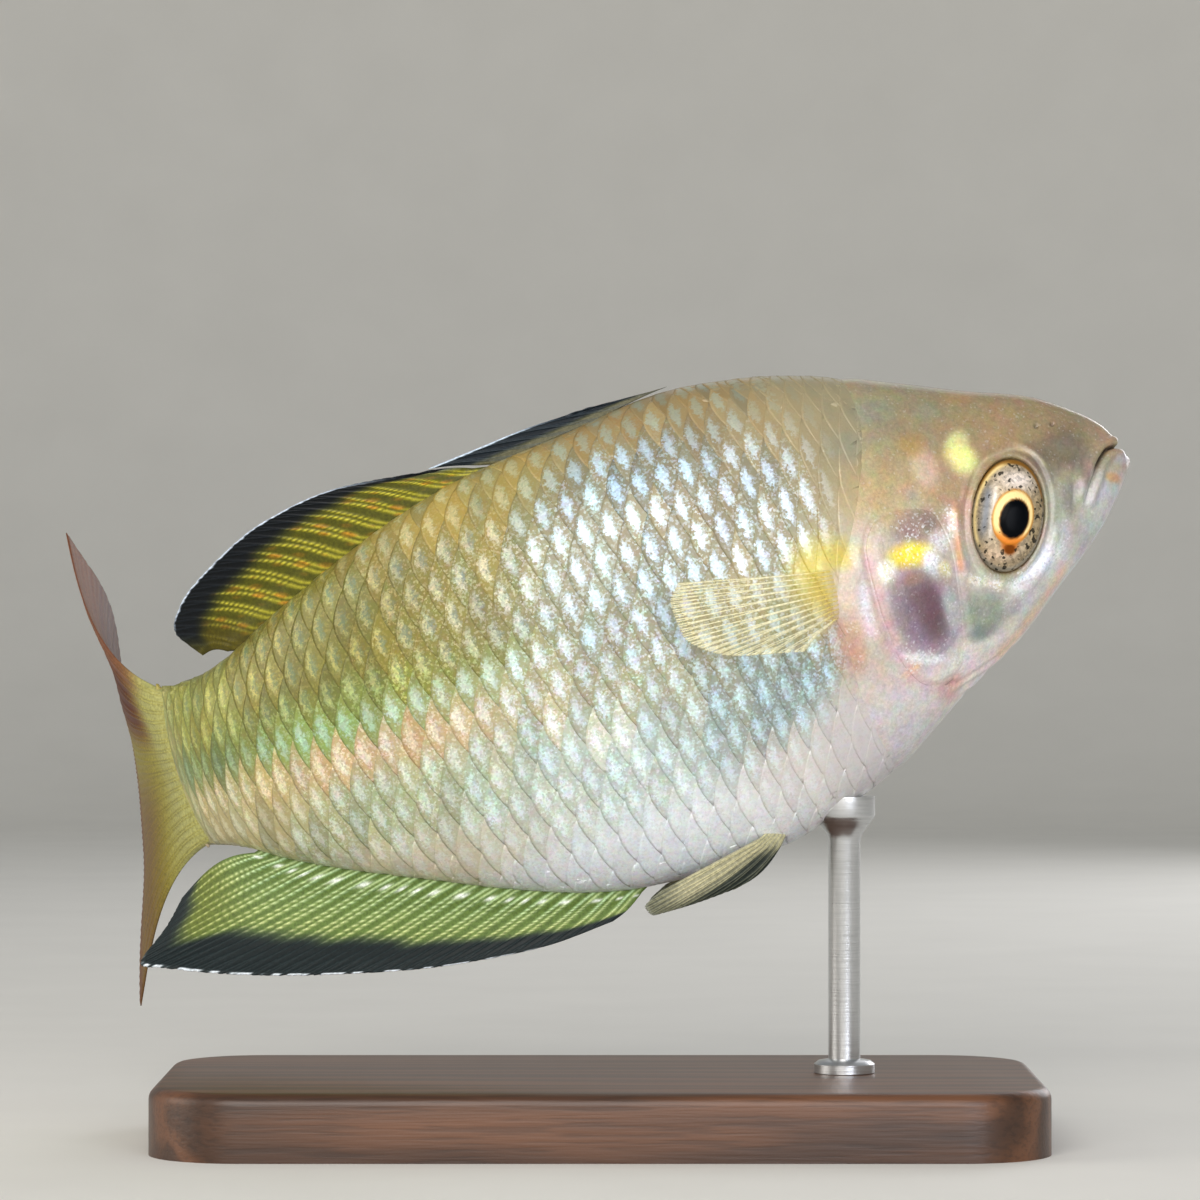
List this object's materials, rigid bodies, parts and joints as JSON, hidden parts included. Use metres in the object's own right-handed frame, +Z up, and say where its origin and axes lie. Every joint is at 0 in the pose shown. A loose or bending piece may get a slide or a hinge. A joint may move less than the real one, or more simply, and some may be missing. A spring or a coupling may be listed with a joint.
{
  "type": "australian rainbowfish display model",
  "caption": "Life-size still model of an Australian rainbowfish, deep-bodied with fins spread and tail turning away, held on a short rod over a flat base.",
  "frame": {"origin": "middle of the flat underside of the stand's base", "axes": "+Z up; +X towards the fish's head along the base's long side; +Y to the fish's left, the side its tail turns to"},
  "size_m": [0.0834, 0.0481, 0.0574],
  "materials": {
    "olive_back": "smooth moist skin, olive brown",
    "silver_flank": "moist silvery scales",
    "gold_tail": "moist gold and olive scales",
    "gill_silver": "smooth pearly gill cover",
    "eye_gold": "clear wet eye with a gold ring",
    "fin_olive": "dark olive fin membrane",
    "fin_pink": "yellow and pink fin membrane",
    "fin_clear_yellow": "clear yellow fin membrane",
    "walnut": "dark satin wood",
    "brushed_steel": "brushed"
  },
  "bodies": {
    "root": {"head": "olive_back", "torso": "silver_flank", "tail": "gold_tail", "gill_cover_left": "gill_silver", "gill_cover_right": "gill_silver", "eye_left": "eye_gold", "eye_right": "eye_gold", "dorsal_fin_first": "fin_olive", "dorsal_fin_second": "fin_olive", "anal_fin": "fin_olive", "caudal_fin": "fin_pink", "pectoral_fin_left": "fin_clear_yellow", "pectoral_fin_right": "fin_clear_yellow", "pelvic_fin_left": "fin_olive", "pelvic_fin_right": "fin_olive", "stand_base": "walnut", "stand_rod": "brushed_steel"}
  },
  "joints": []
}
